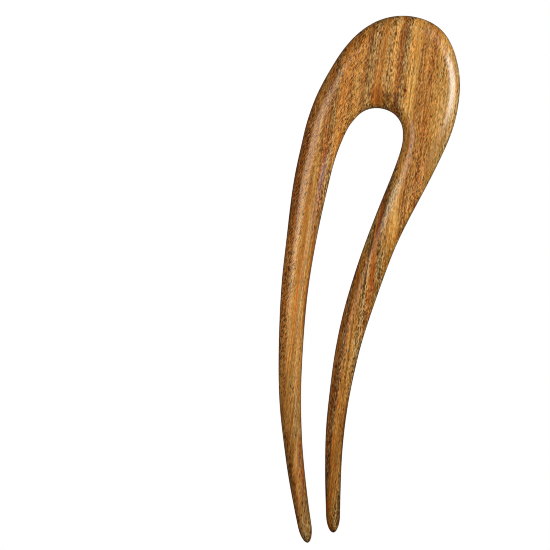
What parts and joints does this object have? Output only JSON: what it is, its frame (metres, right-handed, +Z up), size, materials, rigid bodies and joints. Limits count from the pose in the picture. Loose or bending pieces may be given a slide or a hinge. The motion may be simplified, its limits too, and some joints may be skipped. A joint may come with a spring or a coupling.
{
  "type": "hair fork",
  "caption": "Carved wooden hair fork: a flat oval head, rounded over all round, from which long curved tapering legs run down with an open gap between them.",
  "frame": {"origin": "under the middle of the fork's length and width, on the surface it lies on", "axes": "+Y along the fork from the leg tips to the crown, +Z up through the flat board, +X across, towards the shorter leg's side"},
  "size_m": [0.0464, 0.175, 0.0085],
  "materials": {
    "wood": "satin oiled and polished, golden brown with dark pores along the grain"
  },
  "bodies": {
    "root": {"fork_body": "wood"}
  },
  "joints": []
}
